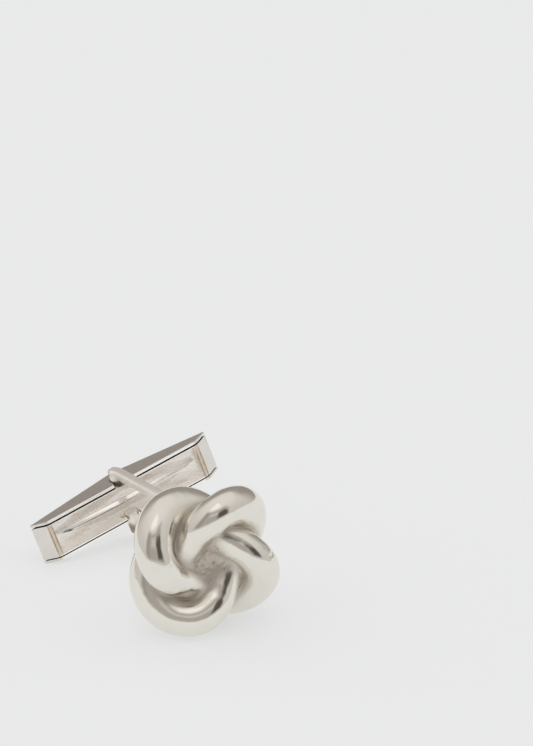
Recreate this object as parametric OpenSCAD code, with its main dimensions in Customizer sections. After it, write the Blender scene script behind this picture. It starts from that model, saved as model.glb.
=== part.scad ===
// Knot cufflink: a four-lobed rope knot of cast metal on a U-shaped bridge,
// with a folded-sheet swivel toggle between the ends of the bridge.
// The cufflink lies as it rests by itself: on two lobes of the knot and one
// end of the toggle. Millimetres, +Z up, the floor at Z = 0.

/* [Knot] */
// Radius of the rope
rope_r = 1.69; // [1.5:0.01:1.9]
// Mean radius of the rope's path round the knot's axis
path_r = 4.25; // [4:0.01:4.5]
// How far the path swings in and out in each lobe
swing = 1.57; // [1.4:0.01:1.8]
// How far the path rises and falls in each lobe
rise = 1.61; // [1.4:0.01:1.8]
// Turn of the knot on its bridge, in degrees
knot_turn = -64; // [-90:0.1:0]
// Lean of the knot along the toggle, in degrees
knot_lean = 4.6; // [0:0.1:6]
// Lean of the knot across the bridge, in degrees
knot_side_lean = 1.8; // [0:0.1:3]

/* [Bridge] */
// Distance from the pivot to the middle of the knot
knot_reach = 18.5; // [17:0.1:20]
// Width over the two arms
bridge_w = 8.2; // [7.8:0.05:8.6]
// Width of one arm across the U
arm_w = 1.15; // [0.9:0.05:1.2]
// Thickness of the U
arm_t = 0.9; // [0.7:0.05:1.1]
// Distance from the pivot to the inside of the U's base
arm_l = 12.4; // [11:0.1:13]
// Length of an arm beyond the pivot
arm_end = 0.95; // [0.8:0.05:1.2]
// Lean of the bridge along the toggle, in degrees
bridge_lean = 5.3; // [3:0.1:7]
// Shift of the bridge along the pins, towards the lower arm
bridge_shift = 0.5; // [0.3:0.05:0.6]
// Radius of the pins that the toggle turns on
pin_r = 0.7; // [0.6:0.05:0.8]

/* [Toggle] */
// Length from tip to tip
toggle_l = 19.8; // [18:0.1:21]
// Length of the open front
toggle_front_l = 17; // [15:0.1:18]
// Width over the two cheeks
toggle_w = 4.5; // [3.8:0.05:4.6]
// Thickness of the cheeks
sheet = 0.55; // [0.45:0.05:0.6]
// Thickness of the bent sheet between the cheeks
thin_sheet = 0.25; // [0.2:0.05:0.35]
// Height of the front edge above the pivot
front_z = 0.95; // [0.8:0.05:1.2]
// Depth of the back ridge below the pivot
ridge_z = 1.75; // [1.4:0.05:2]
// Running clearance between pin and cheek
pin_gap = 0.06; // [0.04:0.01:0.1]

/* [Hidden] */
metal = "silver";

// The rope's path in one lobe, as waves: [size, waves per lobe, phase]
path_waves = [[swing, 1, 0], [0.25, 2, -13]];
rise_waves = [[rise, 1, 86], [0.38, 2, 68]];
turn_waves = [[18.4, 1, -55], [3.4, 2, 134]];
rope_waves = [[0.2, 1, -32], [0.04, 2, -136]];
rise_mid = -0.27;
lobes = 4;
ring_sides = 26;
lobe_rings = 48;

// How the cufflink lies: tilt of its axis, roll round it, height of the pivot
rest_tilt = 6.48;
rest_roll = 16.2;
rest_at = [0, 9.935, 4.84];

inner_w = bridge_w - 2 * arm_w;
base_t = 1.2;
foot_w = 2.6;
tip_z = -0.05;
notch_r = pin_r + pin_gap;
lip_r = 0.25;

function wave_sum(waves, f) =
    [for (w = waves) w[0] * cos(w[1] * f + w[2])] * [for (w = waves) 1];

// Point of the rope's path at phase f: a lobe is 360 degrees of phase and
// takes three quarters of a turn round the knot
function rope_at(f) =
    let (r = path_r + wave_sum(path_waves, f),
         a = -0.75 * f + wave_sum(turn_waves, f))
    [r * cos(a), r * sin(a), rise_mid + wave_sum(rise_waves, f)];

function unit(v) = v / norm(v);

// Ring of the rope round phase f, square to the path, k times as wide
function rope_ring(f, k = 1) =
    let (c = rope_at(f),
         t = unit(rope_at(f + 0.5) - rope_at(f - 0.5)),
         u = unit(cross([0, 0, 1], t)),
         v = cross(t, u),
         r = k * (rope_r + wave_sum(rope_waves, f)))
    [for (i = [0:ring_sides - 1])
        let (b = 360 * i / ring_sides)
        c + r * (cos(b) * u + sin(b) * v)];

// Solid through a list of rings that all have the same number of points
module swept(rings) {
    m = len(rings[0]);
    n = len(rings);
    polyhedron(
        points = [for (r = rings) each r],
        faces = concat(
            [[for (k = [0:m - 1]) k]],
            [for (i = [0:n - 2], k = [0:m - 1])
                let (a = i * m + k, b = i * m + (k + 1) % m)
                each [[a, a + m, b + m], [a, b + m, b]]],
            [[for (k = [m - 1:-1:0]) (n - 1) * m + k]]));
}

// Half of a lobe, from phase f0 over 180 degrees, with a stub at each end
// that reaches into its neighbour
module half_lobe(f0) {
    n = lobe_rings / 2;
    swept(concat(
        [rope_ring(f0 - 7, 0.5)],
        [for (i = [0:n]) rope_ring(f0 + 180 * i / n)],
        [rope_ring(f0 + 187, 0.5)]));
}

// The rope closes on itself after four lobes, where three turns are complete.
// The core fills the pit where the lobes meet.
module knot() {
    for (k = [0:2 * lobes - 1])
        half_lobe(180 * k);
    translate([0, 0, -1.5])
        sphere(r = 2, $fn = 32);
}

// One rod of the bridge's outline, across its thickness, with broken edges
module rod(y, z) {
    translate([0, y, z])
        rotate([0, 90, 0]) {
            cylinder(h = arm_t, r = 0.1, center = true, $fn = 8);
            cylinder(h = arm_t - 0.24, r = 0.22, center = true, $fn = 8);
        }
}

// Stations round half of the U, from the arm's end to the middle of its base:
// the inner rod's y and z, then the outer rod's y and z
function u_stations() =
    let (e = 0.22,
         yi = inner_w / 2 + e,
         yo = bridge_w / 2 - e,
         ze = -arm_end,
         zb = arm_l + e,
         zo = arm_l + base_t - e,
         za = arm_l - 1.9,
         zc = arm_l - 0.9)
    concat(
        [[yi + 0.05, ze + e, yo - 0.45, ze + e],
         [yi, ze + 0.5, yo - 0.2, ze + 0.7],
         [yi, ze + 1.6, yo - 0.05, ze + 1.6],
         [yi, za, yo, zc]],
        [for (a = [20:20:80])
            let (o = (a - 20) / 60)
            [yi * cos(a), za + (zb - za) * sin(a),
             yo + o * (foot_w / 2 - e - yo), zc + o * (zo - zc)]],
        [[0, zb, 0, zo]]);

module half_bridge() {
    s = u_stations();
    for (i = [0:len(s) - 2])
        hull()
            for (j = [i, i + 1]) {
                rod(s[j][0], s[j][1]);
                rod(s[j][2], s[j][3]);
            }
}

// Pins from inside the arms through the toggle's cheeks
module pins() {
    y_in = toggle_w / 2 - sheet - 0.15;
    reach = inner_w / 2 + 0.3;
    for (side = [1, -1]) {
        y_out = reach - side * bridge_shift;
        translate([0, side * (y_in + y_out) / 2, 0])
            rotate([90, 0, 0])
                cylinder(h = y_out - y_in, r = pin_r, center = true, $fn = 36);
    }
}

module bridge() {
    for (m = [0, 1])
        mirror([0, m, 0])
            half_bridge();
    // foot that is soldered into the back of the knot
    hull()
        for (z = [arm_l + base_t - 0.4, knot_reach - 2.2])
            translate([0, 0, z])
                cube([arm_t, foot_w, 0.4], center = true);
}

// Outline with rounded corners: the corners in order, each [x, z, radius]
function rounded(c) =
    [for (i = [0:len(c) - 1])
        let (n = len(c),
             p = [c[i][0], c[i][1]],
             a = [c[(i + n - 1) % n][0], c[(i + n - 1) % n][1]],
             b = [c[(i + 1) % n][0], c[(i + 1) % n][1]],
             u = unit(a - p),
             v = unit(b - p),
             half = acos(u * v) / 2,
             d = c[i][2] / tan(half),
             m = p + unit(u + v) * c[i][2] / sin(half),
             s = p + u * d - m,
             e = p + v * d - m,
             sweep = 180 - 2 * half,
             turn = u[0] * v[1] - u[1] * v[0] > 0 ? -1 : 1)
        each [for (k = [0:4])
            let (g = turn * sweep * k / 4)
            m + [s[0] * cos(g) - s[1] * sin(g), s[0] * sin(g) + s[1] * cos(g)]]];

// Side outline of the toggle, brought in by t on every side but the front
function toggle_outline(t, up) =
    let (f = toggle_front_l / 2,
         h = toggle_l / 2,
         bevel = atan2(front_z - tip_z, h - f),
         back = atan2(ridge_z + tip_z, h),
         ft = t / sin(bevel),
         bt = t / cos(back),
         x0 = f - ft,
         kx = ((front_z - tip_z) / (h - f)),
         kb = (ridge_z + tip_z) / h,
         xt = (front_z + kx * x0 + ridge_z - bt) / (kx + kb),
         zt = -ridge_z + bt + kb * xt)
    [[-x0 + up / kx, front_z + up], [x0 - up / kx, front_z + up],
     [xt, zt], [0, -ridge_z + bt], [-xt, zt]];

module side_plate(points, w) {
    rotate([90, 0, 0])
        linear_extrude(height = w, center = true)
            polygon(points);
}

// Side outline of the notch that a pin sits in, open to the front
function notch_outline() =
    let (c = notch_r + lip_r,
         z = front_z - lip_r)
    concat(
        [for (a = [90:-15:0]) [-c + lip_r * cos(a), z + lip_r * sin(a)]],
        [for (a = [180:10:360]) notch_r * [cos(a), sin(a)]],
        [for (a = [180:-15:90]) [c + lip_r * cos(a), z + lip_r * sin(a)]],
        [[c, front_z + 1], [-c, front_z + 1]]);

module toggle_box() {
    radii = [0.2, 0.2, 0.12, 1.5, 0.12];
    outer = toggle_outline(0, 0);
    color(metal)
        laid()
            difference() {
                side_plate(rounded([for (i = [0:4]) [outer[i][0], outer[i][1], radii[i]]]),
                           toggle_w);
                side_plate(toggle_outline(thin_sheet, 1), toggle_w - 2 * sheet);
                side_plate(notch_outline(), toggle_w + 2);
            }
}

// Leaf inside the toggle, bowed towards the front and pointed at both ends
leaf_l = 15.6;
leaf_w = 1.3;
leaf_t = 0.3;
leaf_mid = 0.75;
leaf_bow = 0.5;
function leaf_edge(off) =
    [for (i = [-10:10])
        [i / 20 * leaf_l, leaf_mid - leaf_bow * pow(i / 10, 2) + off]];

module leaf_spring() {
    r = (pow(leaf_l / 2, 2) + pow(leaf_w / 2, 2)) / leaf_w;
    color(metal)
        laid()
            intersection() {
                side_plate(concat(leaf_edge(0), [for (i = [20:-1:0]) leaf_edge(-leaf_t)[i]]),
                           leaf_w);
                linear_extrude(height = 6, center = true)
                    intersection() {
                        translate([0, r - leaf_w / 2])
                            circle(r = r, $fn = 200);
                        translate([0, -r + leaf_w / 2])
                            circle(r = r, $fn = 200);
                    }
            }
}

// From the cufflink's own axes, with the toggle along X, the width of the
// bridge along Y and the knot on +Z, to the way it lies
module laid() {
    translate(rest_at)
        rotate([90 - rest_tilt, 0, 0])
            rotate([0, 0, rest_roll])
                children();
}

module knot_and_bridge() {
    color(metal)
        laid() {
            translate([0, 0, knot_reach])
                rotate([knot_side_lean, -knot_lean, 0])
                    rotate([0, 0, knot_turn])
                        knot();
            translate([0, -bridge_shift, 0])
                rotate([0, bridge_lean, 0])
                    bridge();
            pins();
        }
}

knot_and_bridge();
toggle_box();
leaf_spring();
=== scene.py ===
import math

import bmesh
import bpy
import numpy as np
from mathutils import Matrix, Vector, noise


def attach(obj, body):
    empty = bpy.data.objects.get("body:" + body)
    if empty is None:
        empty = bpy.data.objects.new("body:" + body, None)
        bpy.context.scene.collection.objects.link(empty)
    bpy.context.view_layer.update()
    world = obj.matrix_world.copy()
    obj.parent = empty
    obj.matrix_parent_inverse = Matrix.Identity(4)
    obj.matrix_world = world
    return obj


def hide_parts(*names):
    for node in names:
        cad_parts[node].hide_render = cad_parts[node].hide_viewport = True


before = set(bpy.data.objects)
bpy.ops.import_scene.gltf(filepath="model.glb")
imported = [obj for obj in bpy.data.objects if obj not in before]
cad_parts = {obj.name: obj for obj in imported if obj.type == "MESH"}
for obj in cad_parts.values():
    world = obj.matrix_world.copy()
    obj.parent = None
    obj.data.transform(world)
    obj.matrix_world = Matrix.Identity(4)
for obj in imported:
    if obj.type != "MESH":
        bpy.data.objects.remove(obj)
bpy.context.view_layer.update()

MM = 0.001

# ---------------------------------------------------------------- how it lies
# The cufflink is made in its own axes, in millimetres: the pivot is the
# origin, X runs along the toggle, Y across the bridge, Z to the knot.
REST_TILT = 6.48
REST_ROLL = 16.2
REST_AT = Vector((0.0, 9.935, 4.84))

LAID = (
    Matrix.Diagonal((MM, MM, MM, 1.0))
    @ Matrix.Translation(REST_AT)
    @ Matrix.Rotation(math.radians(90 - REST_TILT), 4, "X")
    @ Matrix.Rotation(math.radians(REST_ROLL), 4, "Z")
)

# -------------------------------------------------------------------- sizes
ROPE_R = 1.69
PATH_R = 4.25
SWING = 1.57
RISE = 1.61
RISE_MID = -0.27
LOBES = 4
# size, waves per lobe, phase
PATH_WAVES = ((SWING, 1, 0), (0.25, 2, -13))
RISE_WAVES = ((RISE, 1, 86), (0.38, 2, 68))
TURN_WAVES = ((18.4, 1, -55), (3.4, 2, 134))
ROPE_WAVES = ((0.2, 1, -32), (0.04, 2, -136))

KNOT_TURN = -64.0
KNOT_LEAN = 4.6
KNOT_SIDE_LEAN = 1.8
KNOT_REACH = 18.5

BRIDGE_W = 8.2
ARM_W = 1.15
ARM_T = 0.9
ARM_L = 12.4
ARM_END = 0.95
BASE_T = 1.2
FOOT_W = 2.6
BRIDGE_LEAN = 5.3
BRIDGE_SHIFT = 0.5
PIN_R = 0.7

TOGGLE_L = 19.8
FRONT_L = 17.0
TOGGLE_W = 4.5
SHEET = 0.55
THIN_SHEET = 0.25
FRONT_Z = 0.95
TIP_Z = -0.05
RIDGE_Z = 1.75
NOTCH_R = 0.76
LIP_R = 0.25

LEAF_L = 15.6
LEAF_W = 1.0
LEAF_T = 0.3
LEAF_MID = 0.75
LEAF_BOW = 0.5
LEAF_Y = 0.2

SEAT = (
    Matrix.Translation((0, 0, KNOT_REACH))
    @ Matrix.Rotation(math.radians(-KNOT_LEAN), 4, "Y")
    @ Matrix.Rotation(math.radians(KNOT_SIDE_LEAN), 4, "X")
    @ Matrix.Rotation(math.radians(KNOT_TURN), 4, "Z")
)


# ------------------------------------------------------------------- camera
def set_camera():
    """Camera at the photograph's angle: its place and axes in the cufflink's own axes."""
    right = Vector((0.8434, -0.3145, 0.4356))
    up = Vector((0.4573, 0.8458, -0.2748))
    back = Vector((-0.2820, 0.4310, 0.8571))
    knot = Vector((0, 0, KNOT_REACH))
    unit = 0.93
    eye = knot - unit * (right * -6.2265 + up * -18.5647 + back * -320.02)
    turn = LAID.to_3x3().normalized()
    axes = Matrix((turn @ right.normalized(), turn @ up.normalized(), turn @ back.normalized()))
    cam = bpy.data.cameras.new("camera")
    cam.sensor_width = 36.0
    cam.lens = 36.0 * 3200.0 / 746.0
    cam.clip_start = 0.01
    cam.clip_end = 10.0
    ob = bpy.data.objects.new("camera", cam)
    ob.matrix_world = Matrix.Translation(LAID @ eye) @ axes.transposed().to_4x4()
    bpy.context.scene.collection.objects.link(ob)
    bpy.context.scene.camera = ob


set_camera()


# --------------------------------------------------------------- mesh helpers
def new_piece(name, verts, faces, smooth=True):
    me = bpy.data.meshes.new(name)
    me.from_pydata([tuple(v) for v in verts], [], faces)
    me.update()
    ob = bpy.data.objects.new(name, me)
    bpy.context.scene.collection.objects.link(ob)
    if smooth:
        me.shade_smooth()
    return ob


def baked(ob):
    """The object with its modifiers applied, as a plain mesh."""
    bpy.context.view_layer.update()
    deps = bpy.context.evaluated_depsgraph_get()
    me = bpy.data.meshes.new_from_object(ob.evaluated_get(deps))
    old = ob.data
    ob.modifiers.clear()
    ob.data = me
    me.name = ob.name
    if old.users == 0:
        bpy.data.meshes.remove(old)
    return ob


def prism(name, outline, width):
    """Solid of an outline in X and Z, width across Y, centred."""
    n = len(outline)
    verts = [(x, -width / 2, z) for x, z in outline] + [(x, width / 2, z) for x, z in outline]
    faces = [tuple(range(n)), tuple(range(2 * n - 1, n - 1, -1))]
    faces += [((i + 1) % n, i, i + n, (i + 1) % n + n) for i in range(n)]
    ob = new_piece(name, verts, faces, smooth=False)
    outward(ob)
    return ob


def outward(ob):
    bm = bmesh.new()
    bm.from_mesh(ob.data)
    bmesh.ops.remove_doubles(bm, verts=bm.verts, dist=1e-5)
    bmesh.ops.recalc_face_normals(bm, faces=bm.faces)
    bm.to_mesh(ob.data)
    bm.free()


def cut(ob, *tools):
    for tool in tools:
        mod = ob.modifiers.new("cut", "BOOLEAN")
        mod.operation = "DIFFERENCE"
        mod.solver = "EXACT"
        mod.object = tool
        baked(ob)
    for tool in tools:
        bpy.data.objects.remove(tool)
    return ob


def join(ob, *others):
    """Adds the others' meshes to ob's."""
    bm = bmesh.new()
    bm.from_mesh(ob.data)
    for o in others:
        bm.from_mesh(o.data)
    bm.to_mesh(ob.data)
    bm.free()
    for o in others:
        bpy.data.objects.remove(o)
    return ob


def lay(ob, before=None):
    """Moves the mesh from its own axes to where the cufflink lies.

    Its places before that, ahead of any move given as before, stay in the attribute "own" for the materials.
    """
    own = np.empty(len(ob.data.vertices) * 3, np.float32)
    ob.data.vertices.foreach_get("co", own)
    ob.data.attributes.new("own", "FLOAT_VECTOR", "POINT").data.foreach_set("vector", own)
    m = LAID @ before if before else LAID
    ob.data.transform(m)
    ob.data.update()
    return ob


def rounded(corners, steps=6):
    """Outline with rounded corners: x, z and radius of each corner in order; radius 0 stays sharp."""
    out = []
    n = len(corners)
    for i, (x, z, r) in enumerate(corners):
        if not r:
            out.append((x, z))
            continue
        p = Vector((x, z))
        a = Vector(corners[i - 1][:2])
        b = Vector(corners[(i + 1) % n][:2])
        u = (a - p).normalized()
        v = (b - p).normalized()
        half = math.acos(max(-1, min(1, u.dot(v)))) / 2
        m = p + (u + v).normalized() * (r / math.sin(half))
        s = p + u * (r / math.tan(half)) - m
        e = p + v * (r / math.tan(half)) - m
        sweep = math.atan2(s.x * e.y - s.y * e.x, s.dot(e))
        for k in range(steps + 1):
            g = sweep * k / steps
            out.append((m.x + s.x * math.cos(g) - s.y * math.sin(g), m.y + s.x * math.sin(g) + s.y * math.cos(g)))
    return out


# ------------------------------------------------------------------ the knot
def wave_sum(waves, f):
    return sum(size * np.cos(np.radians(n * f + phase)) for size, n, phase in waves)


def rope_at(f):
    """Point and radius of the rope at phase f, in degrees; a lobe is 360 of them."""
    r = PATH_R + wave_sum(PATH_WAVES, f)
    a = np.radians(-0.75 * f + wave_sum(TURN_WAVES, f))
    z = RISE_MID + wave_sum(RISE_WAVES, f)
    return np.stack([r * np.cos(a), r * np.sin(a), z], -1), ROPE_R + wave_sum(ROPE_WAVES, f)


def rope_tree():
    """Geometry Nodes: a closed round rope along the knot's path."""
    tree = bpy.data.node_groups.new("rope along the knot's path", "GeometryNodeTree")
    face = tree.interface
    face.new_socket("Geometry", in_out="OUTPUT", socket_type="NodeSocketGeometry")
    for name, value in (("Path radius", PATH_R), ("Rope radius", ROPE_R), ("Middle height", RISE_MID)):
        s = face.new_socket(name, in_out="INPUT", socket_type="NodeSocketFloat")
        s.default_value = value
    for name, value in (("Rings", LOBES * 96), ("Sides", 40)):
        s = face.new_socket(name, in_out="INPUT", socket_type="NodeSocketInt")
        s.default_value = value
    nodes, links = tree.nodes, tree.links
    gin = nodes.new("NodeGroupInput")
    gout = nodes.new("NodeGroupOutput")

    def calc(op, a, b=None):
        n = nodes.new("ShaderNodeMath")
        n.operation = op
        for i, v in enumerate((a, b)):
            if v is None:
                continue
            if isinstance(v, (int, float)):
                n.inputs[i].default_value = v
            else:
                links.new(v, n.inputs[i])
        return n.outputs[0]

    index = nodes.new("GeometryNodeInputIndex").outputs[0]
    turn = calc("DIVIDE", calc("MULTIPLY", index, 2 * math.pi * LOBES), gin.outputs["Rings"])

    def waves(start, table, scale=1.0):
        total = start
        for size, n, phase in table:
            c = calc("COSINE", calc("ADD", calc("MULTIPLY", turn, n), math.radians(phase)))
            total = calc("ADD", total, calc("MULTIPLY", c, size * scale))
        return total

    r = waves(gin.outputs["Path radius"], PATH_WAVES)
    z = waves(gin.outputs["Middle height"], RISE_WAVES)
    a = waves(calc("MULTIPLY", turn, -0.75), TURN_WAVES, math.radians(1))
    thick = waves(gin.outputs["Rope radius"], ROPE_WAVES)
    place = nodes.new("ShaderNodeCombineXYZ")
    links.new(calc("MULTIPLY", r, calc("COSINE", a)), place.inputs[0])
    links.new(calc("MULTIPLY", r, calc("SINE", a)), place.inputs[1])
    links.new(z, place.inputs[2])
    path = nodes.new("GeometryNodeCurvePrimitiveCircle")
    path.mode = "RADIUS"
    links.new(gin.outputs["Rings"], path.inputs["Resolution"])
    put = nodes.new("GeometryNodeSetPosition")
    links.new(path.outputs["Curve"], put.inputs["Geometry"])
    links.new(place.outputs[0], put.inputs["Position"])
    widen = nodes.new("GeometryNodeSetCurveRadius")
    links.new(put.outputs[0], widen.inputs["Curve"])
    links.new(thick, widen.inputs["Radius"])
    ring = nodes.new("GeometryNodeCurvePrimitiveCircle")
    ring.mode = "RADIUS"
    ring.inputs["Radius"].default_value = 1.0
    links.new(gin.outputs["Sides"], ring.inputs["Resolution"])
    skin = nodes.new("GeometryNodeCurveToMesh")
    links.new(widen.outputs[0], skin.inputs["Curve"])
    links.new(ring.outputs["Curve"], skin.inputs["Profile Curve"])
    links.new(skin.outputs[0], gout.inputs[0])
    return tree


# points along the rope, close enough together to act as a solid line
BEADS = np.arange(0, 360 * LOBES, 5.0)
BEAD_AT, BEAD_R = rope_at(BEADS)
BEAD_STEP = np.linalg.norm(BEAD_AT - np.roll(BEAD_AT, 1, axis=0), axis=1)
# in the heart of the cast knot the strands crowd together a little
CROWD = np.clip((3.7 - np.hypot(BEAD_AT[:, 0], BEAD_AT[:, 1])) / 0.8, 0, 1)
BEAD_AT[:, :2] *= (1 - 0.12 * CROWD * CROWD * (3 - 2 * CROWD))[:, None]
# the core that fills the pit, and lumps of the casting: x, y, z, radius
CORE = (0.0, 0.0, -1.6, 2.0)
LUMPS = ((0.45, -0.5, -0.6, 1.0), (-0.7, 0.4, -0.9, 0.95))
# reach of a crease's darkening, tarnish and painted shade together, as a width of melt
CREASE_MELT = 0.36
# knocked places: x, y, z, radius
DENTS = ((0.1, 7.0, 1.2, 0.6), (2.8, 4.55, 2.3, 0.35), (3.7, 4.35, 2.5, 0.4), (4.6, 4.1, 2.5, 0.4))


def knot_depth(pts):
    """Distance outside the fused knot, its outward direction, a mask of the creases and one of the heart.

    Strands melt into each other: by k * ln 2 where two are equally near, and more in the heart of the knot.
    """
    depth = np.empty(len(pts))
    out = np.empty((len(pts), 3))
    crease = np.empty(len(pts))
    heart = 1 / (1 + np.exp((np.hypot(pts[:, 0], pts[:, 1]) - 2.3) / 0.35))
    for lo in range(0, len(pts), 8000):
        p = pts[lo:lo + 8000]
        k = (0.2 + 0.2 * heart[lo:lo + 8000])[:, None]
        v = p[:, None] - BEAD_AT
        far = np.linalg.norm(v, axis=-1)
        d = far - BEAD_R
        weight = np.exp(-d / k) * BEAD_STEP / np.sqrt(2 * math.pi * ROPE_R * k)
        total = weight.sum(1)
        push = (weight[..., None] * v / far[..., None]).sum(1)
        for x, y, z, r in (CORE,) + LUMPS:
            c = p - np.array((x, y, z))
            reach = np.linalg.norm(c, axis=1)
            ball = np.exp(-(reach - r) / k[:, 0])
            total += ball
            push += ball[:, None] * c / np.maximum(reach, 1e-9)[:, None]
        depth[lo:lo + 8000] = -k[:, 0] * np.log(total)
        out[lo:lo + 8000] = push / np.linalg.norm(push, axis=1)[:, None]
        wide = (np.exp(-d / CREASE_MELT) * BEAD_STEP).sum(1) / math.sqrt(2 * math.pi * ROPE_R * CREASE_MELT)
        crease[lo:lo + 8000] = np.clip((np.log(wide) + d.min(1) / CREASE_MELT - 0.08) / 0.6, 0, 1)
    return depth, out, crease, heart


def make_knot():
    ob = bpy.data.objects.new("rope_knot", bpy.data.meshes.new("rope_knot"))
    bpy.context.scene.collection.objects.link(ob)
    mod = ob.modifiers.new("rope", "NODES")
    mod.node_group = rope_tree()
    baked(ob)
    fill = []
    for at, r in ((0, 0, -0.9), 2.7), ((0, 0, -0.2), 2.2):
        bm = bmesh.new()
        bmesh.ops.create_icosphere(bm, subdivisions=4, radius=r)
        bmesh.ops.translate(bm, verts=bm.verts, vec=at)
        me = bpy.data.meshes.new("lump")
        bm.to_mesh(me)
        bm.free()
        lump = bpy.data.objects.new("lump", me)
        fill.append(lump)
    join(ob, *fill)
    outward(ob)
    mod = ob.modifiers.new("fuse", "REMESH")
    mod.mode = "VOXEL"
    mod.voxel_size = 0.115
    baked(ob)
    me = ob.data
    pts = np.empty(len(me.vertices) * 3)
    me.vertices.foreach_get("co", pts)
    pts = pts.reshape(-1, 3)
    ends = np.empty(len(me.edges) * 2, np.int32)
    me.edges.foreach_get("vertices", ends)
    ends = ends.reshape(-1, 2)
    count = np.bincount(ends.ravel(), minlength=len(pts))[:, None]
    for turn in range(9):
        d, n, crease, heart = knot_depth(pts)
        pts = pts - np.clip(d, -0.3, 0.3)[:, None] * n
        if turn < 7:
            both = np.stack([np.bincount(ends.ravel(), pts[ends[:, ::-1], c].ravel(), len(pts)) for c in range(3)], 1)
            pts = 0.4 * pts + 0.6 * both / count
    d, n, crease, heart = knot_depth(pts)
    # casting: soft unevenness all over, small pits in the middle, and wavy dents where it has been knocked
    uneven = np.array([noise.noise(Vector(p) * 0.55) * 0.03 + noise.noise(Vector(p) * 1.7) * 0.008 for p in pts])
    pits = np.array([max(0.0, noise.noise(Vector(p) * 3.4 + Vector((7, 3, 1))) - 0.3) for p in pts])
    struck = sum(np.exp(-((pts - np.array(m[:3])) ** 2).sum(1) / m[3] ** 2) for m in DENTS)
    waves = np.array([noise.noise(Vector(p) * 2.4) + 0.5 * noise.noise(Vector(p) * 5.0) for p in pts])
    pts = pts + n * (uneven - 0.5 * pits * heart ** 6 - 0.15 * struck * np.abs(waves))[:, None]
    me.vertices.foreach_set("co", pts.ravel())
    me.update()
    # the crease mask sets where the material lays tarnish and painted shade
    for name, values in (("crease", crease), ("heart", heart)):
        at = me.attributes.new(name, "FLOAT", "POINT")
        at.data.foreach_set("value", values.astype(np.float32))
    me.shade_smooth()
    return lay(ob, SEAT)


# ---------------------------------------------------------------- the bridge
def bridge_outline():
    """Outline of the U and its foot, as (y, z)."""
    yi = BRIDGE_W / 2 - ARM_W
    yo = BRIDGE_W / 2
    zc = ARM_L - 0.9
    zo = ARM_L + BASE_T
    za = ARM_L - 1.9
    ze = -ARM_END
    # the arm's end, its outer side worn down towards the tip: distance from the tip, wear
    worn = ((0.0, 0.5), (0.3, 0.37), (0.7, 0.25), (1.2, 0.13), (1.8, 0.04), (2.5, 0.0))
    outer = [(yi, ze + 0.3), (yi + 0.1, ze)] + [(yo - w, ze + z) for z, w in worn]
    outer += [(yo, zc - 0.35), (yo - 0.06, zc + 0.02)]
    outer += [(FOOT_W / 2 + 0.16, zo - 0.16), (FOOT_W / 2, zo + 0.2), (FOOT_W / 2, KNOT_REACH - 2.0)]
    inner = [
        (yi * math.cos(math.radians(g)), za + (ARM_L - za) * math.sin(math.radians(g)))
        for g in range(90, -1, -10)
    ]
    right = inner + outer
    left = [(-y, z) for y, z in reversed(right)]
    return right + left[:-1]


def make_bridge():
    n_out = bridge_outline()
    verts = [(-ARM_T / 2, y, z) for y, z in n_out] + [(ARM_T / 2, y, z) for y, z in n_out]
    n = len(n_out)
    faces = [tuple(range(n)), tuple(range(2 * n - 1, n - 1, -1))]
    faces += [((i + 1) % n, i, i + n, (i + 1) % n + n) for i in range(n)]
    ob = new_piece("u_bridge", verts, faces, smooth=False)
    outward(ob)
    mod = ob.modifiers.new("soft edges", "BEVEL")
    mod.width = 0.26
    mod.segments = 6
    mod.limit_method = "ANGLE"
    mod.angle_limit = math.radians(50)
    mod.use_clamp_overlap = False
    baked(ob)
    lean = Matrix.Rotation(math.radians(BRIDGE_LEAN), 4, "Y")
    ob.data.transform(Matrix.Translation((0, -BRIDGE_SHIFT, 0)) @ lean)
    pins = []
    for side in (1, -1):
        y_arm = BRIDGE_W / 2 - ARM_W - side * BRIDGE_SHIFT
        y_in = TOGGLE_W / 2 - SHEET - 0.15
        profile = [(0.0, y_arm + 0.35), (PIN_R, y_arm + 0.3), (PIN_R, y_in + 0.15)]
        profile += [(PIN_R - 0.05, y_in + 0.05), (PIN_R - 0.17, y_in), (0.0, y_in)]
        pins.append(turned("pin", profile, side))
    join(ob, *pins)
    ob.data.shade_smooth()
    return lay(ob)


def turned(name, profile, side, sides=48):
    """Round piece turned about Y from (radius, y) pairs."""
    verts, faces = [], []
    for r, y in profile:
        for i in range(sides):
            g = 2 * math.pi * i / sides
            verts.append((r * math.cos(g), side * y, r * math.sin(g)))
    for j in range(len(profile) - 1):
        for i in range(sides):
            a, b = j * sides + i, j * sides + (i + 1) % sides
            faces.append((a, b, b + sides, a + sides))
    ob = new_piece(name, verts, faces)
    outward(ob)
    return ob


# ---------------------------------------------------------------- the toggle
def toggle_outline(t, up):
    """Side outline of the toggle, brought in by t at the ends and the back, its front moved up."""
    f, h = FRONT_L / 2, TOGGLE_L / 2
    bevel = math.atan2(FRONT_Z - TIP_Z, h - f)
    back = math.atan2(RIDGE_Z + TIP_Z, h)
    bt = t / math.cos(back)
    x0 = f - t / math.sin(bevel)
    kx = (FRONT_Z - TIP_Z) / (h - f)
    kb = (RIDGE_Z + TIP_Z) / h
    xt = (FRONT_Z + kx * x0 + RIDGE_Z - bt) / (kx + kb)
    zt = -RIDGE_Z + bt + kb * xt
    return [(-x0 + up / kx, FRONT_Z + up), (x0 - up / kx, FRONT_Z + up), (xt, zt), (0, -RIDGE_Z + bt), (-xt, zt)]


def arc(cx, cz, r, g0, g1, steps):
    return [(cx + r * math.cos(math.radians(g0 + (g1 - g0) * i / steps)),
             cz + r * math.sin(math.radians(g0 + (g1 - g0) * i / steps))) for i in range(steps + 1)]


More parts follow.
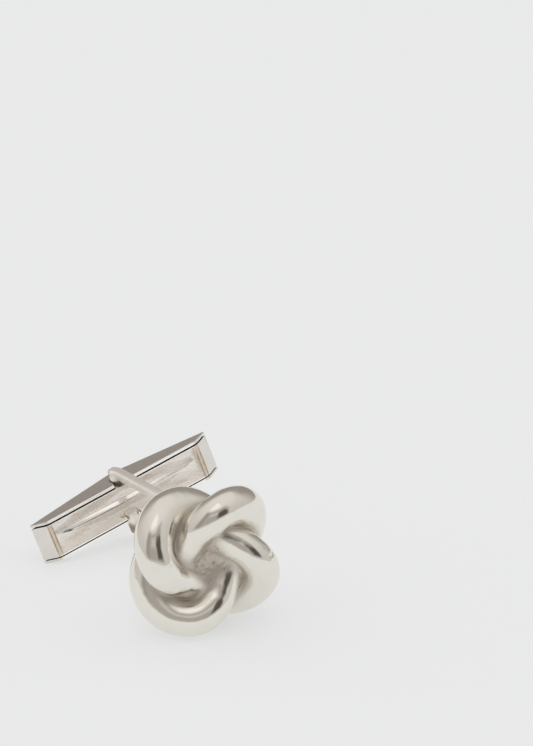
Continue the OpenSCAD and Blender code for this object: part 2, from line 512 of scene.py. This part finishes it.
def seam(side, depth, width, y):
    """Thin frame that cuts the gap between a cheek's outer plate and its lining."""
    slab = prism("seam", [(-12, -3), (12, -3), (12, 3), (-12, 3)], width)
    cut(slab, prism("core", toggle_outline(depth, -depth), 4 * width))
    for v in slab.data.vertices:
        v.co.y += side * y
    # the gap's faces take the second material, the painted shade of the gap
    for face in slab.data.polygons:
        face.material_index = 1
    return slab


def make_toggle(silver_mat, gap_mat):
    radii = (1.3, 1.3, 0, 1.5, 0)
    outer = [(x, z, r) for (x, z), r in zip(toggle_outline(0, 0), radii)]
    ob = prism("folded_toggle", rounded(outer), TOGGLE_W)
    inside = prism("inside", toggle_outline(THIN_SHEET, 1), TOGGLE_W - 2 * SHEET)
    c, z = NOTCH_R + LIP_R, FRONT_Z - LIP_R
    notch = arc(-c, z, LIP_R, 90, 0, 8) + arc(0, 0, NOTCH_R, 180, 360, 32) + arc(c, z, LIP_R, 180, 90, 8)
    notch += [(c, FRONT_Z + 1), (-c, FRONT_Z + 1)]
    cut(ob, inside, prism("notch", notch, TOGGLE_W + 2))
    outward(ob)
    for mat in (silver_mat, gap_mat):
        ob.data.materials.append(mat)
    for side, y, width in ((1, TOGGLE_W / 2 - 0.37, 0.19), (-1, TOGGLE_W / 2 - 0.36, 0.13)):
        slab = seam(side, 0.45, width, y)
        for mat in (silver_mat, gap_mat):
            slab.data.materials.append(mat)
        cut(ob, slab)
    # only the folds along the two cheeks are rounded
    me = ob.data
    at_cheek = [abs(abs(v.co.y) - TOGGLE_W / 2) < 1e-4 for v in me.vertices]
    weight = [1.0 if at_cheek[e.vertices[0]] and at_cheek[e.vertices[1]] else 0.0 for e in me.edges]
    me.attributes.new("bevel_weight_edge", "FLOAT", "EDGE").data.foreach_set("value", weight)
    mod = ob.modifiers.new("folded edges", "BEVEL")
    mod.width = 0.08
    mod.segments = 3
    mod.limit_method = "WEIGHT"
    mod.use_clamp_overlap = False
    baked(ob)
    ob.data.shade_smooth()
    ob.data.set_sharp_from_angle(angle=math.radians(35))
    mod = ob.modifiers.new("flat faces", "WEIGHTED_NORMAL")
    mod.keep_sharp = True
    baked(ob)
    return lay(ob)


# ------------------------------------------------------------------ the leaf
def leaf_section(s):
    """Upper side of the leaf at s from -1 to 1: a steep flank, a round bend and a broad flat flank."""
    w = LEAF_W * max(0.03, min(1.0, 1.9 * (1 - abs(s)))) ** 0.8
    steep = min(0.28, 0.6 * w)
    crest = LEAF_Y + 0.12 * w
    curl = 0.22 * min(1.0, max(0.0, (-s - 0.72) / 0.2))
    top = (crest, -steep * 0.98)
    bend = [(crest - steep + 0.07 * (math.cos(g) - 0.2), 0.07 * (math.sin(g) - 1))
            for g in [math.radians(20 + 14 * k) for k in range(6)]]
    flat = [(crest - steep - (w - steep) * t, curl * t * w - 0.05 * t) for t in (0.15, 0.5, 0.85, 1.0)]
    return [top] + bend + flat


def make_leaf():
    """Long leaf inside the toggle, pointed at both ends."""
    rows = 81
    verts, faces = [], []
    for layer in (0, 1):
        for i in range(rows):
            s = -1 + 2 * i / (rows - 1)
            z0 = LEAF_MID - LEAF_BOW * s * s
            for y, z in leaf_section(s):
                verts.append((s * LEAF_L / 2, y, z0 + z if layer == 0 else z0 - LEAF_T - 0.1))
    across = len(leaf_section(0))
    m = rows * across
    for i in range(rows - 1):
        for j in range(across - 1):
            a = i * across + j
            faces.append((a, a + across, a + across + 1, a + 1))
            faces.append((m + a, m + a + 1, m + a + across + 1, m + a + across))
    for i in range(rows - 1):
        a = i * across
        faces.append((a, a + m, a + m + across, a + across))
        b = a + across - 1
        faces.append((b, b + across, b + across + m, b + m))
    for j in range(across - 1):
        faces.append((j, j + 1, j + 1 + m, j + m))
        a = (rows - 1) * across + j
        faces.append((a, a + m, a + 1 + m, a + 1))
    ob = new_piece("leaf", verts, faces)
    outward(ob)
    ob.data.shade_smooth()
    ob.data.set_sharp_from_angle(angle=math.radians(30))
    return lay(ob)


# ----------------------------------------------------------------- materials
RADIANS_TO_DEGREES = 57.29578
STREAKS = (0.70, 0.60, 0.50)
# painted highlight on the front lips of the toggle's cheeks
RIM_HIGHLIGHT = (0.95, 0.94, 0.92)


def group(name, inputs, outputs):
    """Empty shader node group with named float, colour or vector sockets."""
    kinds = {"f": "NodeSocketFloat", "c": "NodeSocketColor", "v": "NodeSocketVector"}
    tree = bpy.data.node_groups.new(name, "ShaderNodeTree")
    for side, table in (("INPUT", inputs), ("OUTPUT", outputs)):
        for key, kind, value in table:
            s = tree.interface.new_socket(key, in_out=side, socket_type=kinds[kind])
            if value is not None:
                s.default_value = value
    return tree, Wires(tree)


class Wires:
    """Short calls that add and join shader nodes in one tree."""

    def __init__(self, tree):
        self.tree = tree
        self.ends = {}

    def node(self, kind, **props):
        n = self.tree.nodes.new(kind)
        for k, v in props.items():
            setattr(n, k, v)
        return n

    def put(self, socket, value):
        if hasattr(value, "is_linked"):
            self.tree.links.new(value, socket)
        elif value is not None:
            socket.default_value = value

    def given(self, name):
        if "in" not in self.ends:
            self.ends["in"] = self.node("NodeGroupInput")
        return self.ends["in"].outputs[name]

    def give(self, name, value):
        if "out" not in self.ends:
            self.ends["out"] = self.node("NodeGroupOutput")
        self.put(self.ends["out"].inputs[name], value)

    def calc(self, op, *values, clamp=False):
        n = self.node("ShaderNodeMath", operation=op, use_clamp=clamp)
        for i, v in enumerate(values):
            self.put(n.inputs[i], v)
        return n.outputs[0]

    def ramp(self, value, lo, hi, to_lo=0.0, to_hi=1.0, smooth=True):
        n = self.node("ShaderNodeMapRange", interpolation_type="SMOOTHSTEP" if smooth else "LINEAR")
        for i, v in enumerate((value, lo, hi, to_lo, to_hi)):
            self.put(n.inputs[i], v)
        return n.outputs[0]

    def mix(self, fac, a, b, blend="MIX"):
        n = self.node("ShaderNodeMix", data_type="RGBA", blend_type=blend)
        self.put(n.inputs[0], fac)
        self.put(n.inputs[6], a)
        self.put(n.inputs[7], b)
        return n.outputs[2]

    def noise(self, where, scale, detail=2.0, rough=0.5, warp=0.0):
        n = self.node("ShaderNodeTexNoise")
        self.put(n.inputs["Vector"], where)
        self.put(n.inputs["Scale"], scale)
        self.put(n.inputs["Detail"], detail)
        self.put(n.inputs["Roughness"], rough)
        self.put(n.inputs["Distortion"], warp)
        return n.outputs["Fac"]

    def stretched(self, where, turn, scale):
        n = self.node("ShaderNodeMapping")
        self.put(n.inputs["Vector"], where)
        n.inputs["Rotation"].default_value = [math.radians(t) for t in turn]
        n.inputs["Scale"].default_value = scale
        return n.outputs[0]

    def blob(self, own, at, size):
        """Soft mask round a place in the cufflink's own axes."""
        away = self.node("ShaderNodeVectorMath", operation="SUBTRACT")
        self.put(away.inputs[0], own)
        away.inputs[1].default_value = at
        part = self.node("ShaderNodeVectorMath", operation="DIVIDE")
        self.put(part.inputs[0], away.outputs[0])
        part.inputs[1].default_value = size
        far = self.node("ShaderNodeVectorMath", operation="LENGTH")
        self.put(far.inputs[0], part.outputs[0])
        return self.ramp(far.outputs["Value"], 0.55, 1.15, 1.0, 0.0)


def fine_scratches():
    """Hairlines from wear and polishing, as a height."""
    tree, w = group("fine scratches", (("Place", "v", None), ("Amount", "f", 1.0)), (("Height", "f", None),))
    at = w.given("Place")
    lines = None
    for turn, squeeze in (
        ((20, 35, 10), (9000, 500, 700)),
        ((-50, 10, 65), (600, 8000, 500)),
        ((70, -30, 40), (500, 700, 11000)),
    ):
        n = w.noise(w.stretched(at, turn, squeeze), 1.0, 2.0, 0.6)
        cut_off = w.ramp(n, 0.56, 0.7)
        lines = cut_off if lines is None else w.calc("MAXIMUM", lines, cut_off)
    w.give("Height", w.calc("MULTIPLY", lines, w.given("Amount")))
    return tree


def tarnish():
    """Warm grey bloom of old silver: a soft mask with blotches and small pits. Laid in the knot's creases, it also
    stands for painted shade.
    """
    tree, w = group(
        "tarnish",
        (("Place", "v", None), ("Where", "f", 0.0), ("Blotches", "f", 1.0)),
        (("Mask", "f", None), ("Pits", "f", None)),
    )
    at = w.given("Place")
    soft = w.noise(at, 700.0, 4.0, 0.6, 0.4)
    fine = w.noise(at, 5200.0, 3.0, 0.65)
    speck = w.ramp(fine, 0.55, 0.72)
    spread = w.calc("MULTIPLY", w.ramp(soft, 0.38, 0.72), w.given("Blotches"))
    base = w.given("Where")
    grown = w.calc("MULTIPLY", base, w.calc("ADD", 0.75, w.calc("MULTIPLY", soft, 0.5)))
    w.give("Mask", w.calc("ADD", w.calc("MAXIMUM", grown, 0.0), w.calc("MULTIPLY", spread, 0.25), clamp=True))
    w.give("Pits", w.calc("MULTIPLY", speck, base))
    return tree


SCRATCHES = fine_scratches()
TARNISH_AND_SHADE = tarnish()


def use(w, tree, **values):
    n = w.node("ShaderNodeGroup")
    n.node_tree = tree
    for key, value in values.items():
        w.put(n.inputs[key], value)
    return n


def silver(name, bright, dull, rough_bright, rough_dull, blotches, scratch, wobble, masks=(), spots_and_shade=(), lining=None,
           metal=1.0):
    """Silver with tarnish in its hollows, and painted shade and light where given.

    masks are attributes that say where the tarnish lies, with their weights; in the knot's creases it is widened to
    stand for painted shade as well.
    The spots given are places in the cufflink's own axes with their sizes and colours; the dark brown ones at the
    pivot are partly painted shadow.
    lining is the colour of the inside of the toggle, lighter than the outside as painted light in the trough; its
    rims carry a painted highlight. Both are half metallic, because plain metal would leave the trough darker than it
    should look.
    """
    mat = bpy.data.materials.new(name)
    mat.use_nodes = True
    w = Wires(mat.node_tree)
    bsdf = mat.node_tree.nodes["Principled BSDF"]
    bsdf.inputs["Metallic"].default_value = metal
    at = w.node("ShaderNodeTexCoord").outputs["Object"]
    where = None
    for key, lo, hi, weight in masks:
        a = w.node("ShaderNodeAttribute", attribute_name=key)
        part = w.ramp(a.outputs["Fac"], lo, hi, 0.0, weight)
        where = part if where is None else w.calc("ADD", where, part, clamp=True)
    # tarnish mask: in the knot's creases it also carries painted shade
    tarnish_and_shade = use(w, TARNISH_AND_SHADE, Place=at, Where=where if where is not None else 0.0, Blotches=blotches)
    lines = use(w, SCRATCHES, Place=at, Amount=scratch)
    mask = tarnish_and_shade.outputs["Mask"]
    colour = w.mix(mask, (*bright, 1), (*dull, 1))
    rough = w.ramp(mask, 0.0, 1.0, rough_bright, rough_dull, smooth=False)
    if lining or spots_and_shade:
        own = w.node("ShaderNodeAttribute", attribute_name="own").outputs["Vector"]
    if lining:
        part = w.node("ShaderNodeSeparateXYZ")
        w.put(part.inputs[0], own)
        half = TOGGLE_W / 2 - SHEET
        across = w.ramp(w.calc("ABSOLUTE", part.outputs[1]), half + 0.02, half + 0.06, 1.0, 0.0)
        below = w.ramp(part.outputs[2], FRONT_Z - 0.12, FRONT_Z - 0.02, 1.0, 0.0)
        rising = w.calc("MULTIPLY", w.calc("ABSOLUTE", part.outputs[0]), (RIDGE_Z + TIP_Z) * 2 / TOGGLE_L)
        depth = w.calc("ADD", w.calc("MULTIPLY", part.outputs[2], -1.0), rising)
        inside = w.ramp(depth, RIDGE_Z - THIN_SHEET + 0.08, RIDGE_Z - THIN_SHEET + 0.02, 0.0, 1.0)
        inside = w.calc("MULTIPLY", w.calc("MULTIPLY", across, below), inside)
        slope = (TOGGLE_L - FRONT_L) / 2 / (FRONT_Z - TIP_Z)
        behind = w.calc("MULTIPLY", w.calc("SUBTRACT", part.outputs[2], FRONT_Z), slope)
        end = w.calc("ADD", w.calc("ABSOLUTE", part.outputs[0]), behind)
        inside = w.calc("MULTIPLY", inside, w.ramp(end, FRONT_L / 2 - 0.35, FRONT_L / 2 - 0.2, 1.0, 0.0))
        # the lining's colour, lighter than the outside silver, is painted light in the trough; the streaks in it are
        # a noise pattern
        streaks = w.ramp(w.noise(w.stretched(own, (0, 0, 0), (0.22, 2.6, 1.4)), 1.0, 4.0, 0.65), 0.44, 0.7, 0.0, 0.6)
        streaked_lining = w.mix(streaks, (*lining, 1), (*STREAKS, 1))
        colour = w.mix(inside, colour, streaked_lining)
        rough = w.calc("ADD", rough, w.calc("MULTIPLY", inside, 0.06))
        # painted highlight along the front lips of the cheeks, lighter and smoother
        at_front = w.ramp(part.outputs[2], FRONT_Z - 0.06, FRONT_Z - 0.02)
        on_cheek = w.ramp(w.calc("ABSOLUTE", part.outputs[1]), half - 0.02, half + 0.01)
        rim = w.calc("MULTIPLY", at_front, on_cheek)
        colour = w.mix(rim, colour, (*RIM_HIGHLIGHT, 1))
        rough = w.calc("SUBTRACT", rough, w.calc("MULTIPLY", rim, 0.1))
        less_metal = w.calc("MULTIPLY", w.calc("MAXIMUM", inside, rim), 0.5)
        w.put(bsdf.inputs["Metallic"], w.calc("SUBTRACT", 1.0, less_metal))
    # tinted spots at given places; those at the pivot are partly painted shadow
    for at_, size, tint in spots_and_shade:
        spot = w.blob(own, at_, size)
        patchy = w.ramp(w.noise(at, 3600.0, 3.0, 0.6), 0.3, 0.6, 0.7, 1.0)
        spot = w.calc("MULTIPLY", spot, patchy)
        colour = w.mix(spot, colour, (*tint, 1))
        rough = w.calc("ADD", rough, w.calc("MULTIPLY", spot, 0.2))
    w.put(bsdf.inputs["Base Color"], colour)
    w.put(bsdf.inputs["Roughness"], rough)
    lumps = w.calc("MULTIPLY", w.noise(at, 420.0, 2.0, 0.5), wobble)
    grain = w.calc("MULTIPLY", w.noise(at, 9000.0, 2.0, 0.6), w.ramp(mask, 0.2, 0.9, 0.02, 0.5))
    height = w.calc("ADD", w.calc("SUBTRACT", lumps, w.calc("MULTIPLY", lines.outputs["Height"], 0.03)), grain)
    height = w.calc("SUBTRACT", height, tarnish_and_shade.outputs["Pits"])
    bump = w.node("ShaderNodeBump")
    bump.inputs["Strength"].default_value = 0.5
    bump.inputs["Distance"].default_value = 0.00002
    w.put(bump.inputs["Height"], height)
    w.put(bsdf.inputs["Normal"], bump.outputs[0])
    return mat


def dark_gap():
    """Painted shade in the narrow gap between two sheets: near black, with brown patches."""
    mat = bpy.data.materials.new("dark gap")
    mat.use_nodes = True
    w = Wires(mat.node_tree)
    bsdf = mat.node_tree.nodes["Principled BSDF"]
    at = w.node("ShaderNodeTexCoord").outputs["Object"]
    patch = w.ramp(w.noise(at, 1500.0, 3.0, 0.6), 0.4, 0.65)
    w.put(bsdf.inputs["Base Color"], w.mix(patch, (0.012, 0.009, 0.006, 1), (0.06, 0.035, 0.02, 1)))
    bsdf.inputs["Roughness"].default_value = 0.8
    bsdf.inputs["Specular IOR Level"].default_value = 0.1
    return mat


# GOLD and BEIGE colour lines and bands on the toggle; BROWN is the dark brown round the pivot, tarnish together with
# painted shadow under the arm
GOLD = (0.50, 0.37, 0.23)
BEIGE = (0.72, 0.64, 0.55)
BROWN = (0.07, 0.045, 0.03)
# the knot's creases darken with tarnish and with painted shade; its heart with tarnish
knot_silver = silver(
    "polished knot silver", (0.865, 0.84, 0.77), (0.59, 0.535, 0.47), 0.08, 0.46,
    blotches=0.25, scratch=0.5, wobble=1.0, masks=(("crease", 0.1, 1.0, 0.9), ("heart", 0.5, 1.0, 0.4)))
# the bridge silver is lighter and less metallic than the knot's: painted light on the bridge
bridge_silver = silver(
    "satin bridge silver", (0.95, 0.91, 0.85), (0.60, 0.52, 0.44), 0.42, 0.52,
    blotches=0.5, scratch=1.0, wobble=1.0, metal=0.85,
    spots_and_shade=(
        # dark brown round the pin at the pivot: tarnish together with painted shadow under the arm
        ((-0.1, 1.9, 0.1), (1.6, 0.55, 1.6), BROWN),
        # tinted patches near the ends of the two arms
        ((-0.45, -3.35, 0.0), (1.0, 1.0, 0.9), (0.42, 0.32, 0.23)),
        ((0.0, 3.4, -0.8), (1.2, 1.2, 0.7), (0.66, 0.575, 0.49)),
    ))
toggle_silver = silver(
    "satin toggle silver", (0.82, 0.785, 0.745), (0.46, 0.38, 0.31), 0.2, 0.4,
    # the lining colour is lighter than the outside: painted light in the trough
    blotches=0.5, scratch=1.0, wobble=0.6, lining=(0.92, 0.895, 0.86),
    spots_and_shade=(
        # beige bands and golden lines across the front near both ends; further down, golden spots beside the two
        # notches
        ((FRONT_L / 2 - 0.15, 0.0, FRONT_Z), (0.3, 2.6, 0.5), BEIGE),
        ((FRONT_L / 2 + 0.05, -0.3, FRONT_Z), (0.09, 2.4, 0.5), GOLD),
        ((FRONT_L / 2 - 0.36, -0.5, FRONT_Z), (0.09, 2.2, 0.5), GOLD),
        ((-FRONT_L / 2 + 0.15, 0.0, FRONT_Z), (0.3, 2.6, 0.4), BEIGE),
        ((-FRONT_L / 2 - 0.02, 0.0, FRONT_Z), (0.08, 2.4, 0.4), GOLD),
        ((-FRONT_L / 2 + 0.36, 0.0, FRONT_Z), (0.08, 2.2, 0.4), GOLD),
        ((0.95, 2.25, 0.5), (0.4, 0.3, 0.4), GOLD),
        # dark brown in the notch under the arm: tarnish together with painted shadow
        ((0.0, 2.0, -0.1), (1.0, 0.6, 0.95), BROWN),
        ((-0.9, -2.0, 0.1), (0.5, 0.5, 0.5), GOLD),
    ))
leaf_silver = silver(
    "leaf silver", (0.95, 0.935, 0.905), (0.55, 0.46, 0.38), 0.12, 0.4,
    blotches=0.8, scratch=1.0, wobble=1.5,
    spots_and_shade=(
        # a beige-brown band along the lower flank, a thin dark line along the bend, a dark spot near one tip
        ((0.0, -0.4, 0.5), (9.0, 0.42, 1.5), (0.64, 0.57, 0.50)),
        ((-2.6, -0.04, 0.6), (4.8, 0.05, 2.0), (0.12, 0.09, 0.07)),
        ((-6.9, -0.1, 0.3), (0.85, 0.24, 0.6), (0.08, 0.07, 0.06)),
    ))

knot = make_knot()
bridge = make_bridge()
toggle = make_toggle(toggle_silver, dark_gap())
leaf = make_leaf()
for ob, body, node, mat in (
    (knot, "front", "knot_and_bridge", knot_silver),
    (bridge, "front", "knot_and_bridge", bridge_silver),
    (toggle, "toggle", "toggle_box", None),
    (leaf, "toggle", "leaf_spring", leaf_silver),
):
    if mat:
        ob.data.materials.clear()
        ob.data.materials.append(mat)
    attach(ob, body)
    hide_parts(node)


# --------------------------------------------------------------- the setting
def make_stage():
    """Pale table, large enough to fill the view and the reflections."""
    bm = bmesh.new()
    bmesh.ops.create_circle(bm, cap_ends=True, segments=96, radius=0.45)
    me = bpy.data.meshes.new("floor")
    bm.to_mesh(me)
    bm.free()
    floor = bpy.data.objects.new("floor", me)
    bpy.context.scene.collection.objects.link(floor)
    mat = bpy.data.materials.new("pale floor")
    mat.use_nodes = True
    bsdf = mat.node_tree.nodes["Principled BSDF"]
    bsdf.inputs["Base Color"].default_value = (0.60, 0.62, 0.63, 1)
    bsdf.inputs["Roughness"].default_value = 0.95
    bsdf.inputs["Specular IOR Level"].default_value = 0.1
    bsdf.inputs["Emission Color"].default_value = (1.0, 1.0, 1.0, 1)
    bsdf.inputs["Emission Strength"].default_value = 0.2
    me.materials.append(mat)


def make_light():
    """Studio round the table: bright above and at the sides, dark behind the camera."""
    world = bpy.data.worlds.new("studio")
    bpy.context.scene.world = world
    world.use_nodes = True
    w = Wires(world.node_tree)
    back = world.node_tree.nodes["Background"]
    way = w.node("ShaderNodeSeparateXYZ")
    w.put(way.inputs[0], w.node("ShaderNodeTexCoord").outputs["Generated"])
    x, y, z = way.outputs
    el = w.calc("MULTIPLY", w.calc("ARCSINE", z), RADIANS_TO_DEGREES)
    az = w.calc("MULTIPLY", w.calc("ARCTAN2", x, w.calc("MULTIPLY", y, -1.0)), RADIANS_TO_DEGREES)
    # soft rise of the light from the horizon to the top, less at the back
    rise = w.ramp(el, 5.0, 75.0, 0.62, 0.8)
    turned_away = w.calc("ABSOLUTE", w.calc("WRAP", w.calc("SUBTRACT", az, 150.0), 180.0, -180.0))
    far = w.calc("MULTIPLY", w.ramp(turned_away, 25.0, 75.0, 1.0, 0.0), w.ramp(el, 32.0, 56.0, 1.0, 0.0))
    level = w.calc("MULTIPLY", rise, w.calc("SUBTRACT", 1.0, w.calc("MULTIPLY", far, 0.48)))
    # bright ceiling in front
    in_front = w.calc("MULTIPLY", w.ramp(az, -75.0, -55.0), w.ramp(az, 2.0, 16.0, 1.0, 0.0))
    ceiling = w.calc("MULTIPLY", in_front, w.ramp(el, 56.0, 62.0))
    level = w.calc("ADD", level, w.calc("MULTIPLY", ceiling, 0.2))
    # dim part of the studio behind the camera, with a dark patch in it
    wide = w.calc("MULTIPLY", w.ramp(az, -80.0, -62.0), w.ramp(az, 22.0, 36.0, 1.0, 0.0))
    high = w.calc("MULTIPLY", w.ramp(el, 1.0, 8.0), w.ramp(el, 46.0, 57.0, 1.0, 0.0))
    dim = w.calc("MULTIPLY", wide, high)
    core_el = w.calc("MULTIPLY", w.ramp(el, 4.0, 12.0), w.ramp(el, 29.0, 45.0, 1.0, 0.0))
    core = w.calc("MULTIPLY", w.ramp(az, -10.0, 5.0), core_el)
    gap_az = w.calc("MULTIPLY", w.ramp(az, -44.0, -34.0), w.ramp(az, -8.0, 1.0, 1.0, 0.0))
    gap_el = w.calc("MULTIPLY", w.ramp(el, 26.0, 32.0), w.ramp(el, 38.0, 46.0, 1.0, 0.0))
    gap = w.calc("MULTIPLY", w.calc("MULTIPLY", gap_az, gap_el), 0.16)
    deep = w.calc("ADD", w.ramp(az, -60.0, -45.0, 0.34, 0.43), gap)
    deep = w.calc("MULTIPLY", deep, w.calc("SUBTRACT", 1.0, w.calc("MULTIPLY", core, 0.78)))
    level = w.calc("ADD", w.calc("MULTIPLY", level, w.calc("SUBTRACT", 1.0, dim)), w.calc("MULTIPLY", deep, dim))
    w.put(back.inputs["Strength"], level)
    # the dimmer, the warmer
    w.put(back.inputs["Color"], w.mix(w.ramp(level, 0.3, 0.7), (1.0, 0.93, 0.87, 1), (1.0, 0.965, 0.945, 1)))


def make_fill():
    """Soft light from the upper left that reaches into the toggle: it casts no shadow and isn't mirrored."""
    lamp = bpy.data.lights.new("fill", "SUN")
    lamp.energy = 1.7
    lamp.angle = math.radians(30)
    lamp.use_shadow = False
    ob = bpy.data.objects.new("fill", lamp)
    ob.rotation_euler = Vector((-0.39, -0.53, 0.68)).to_track_quat("Z", "Y").to_euler()
    ob.visible_glossy = False
    bpy.context.scene.collection.objects.link(ob)


make_stage()
make_light()
make_fill()
bpy.context.scene.view_settings.view_transform = "Standard"
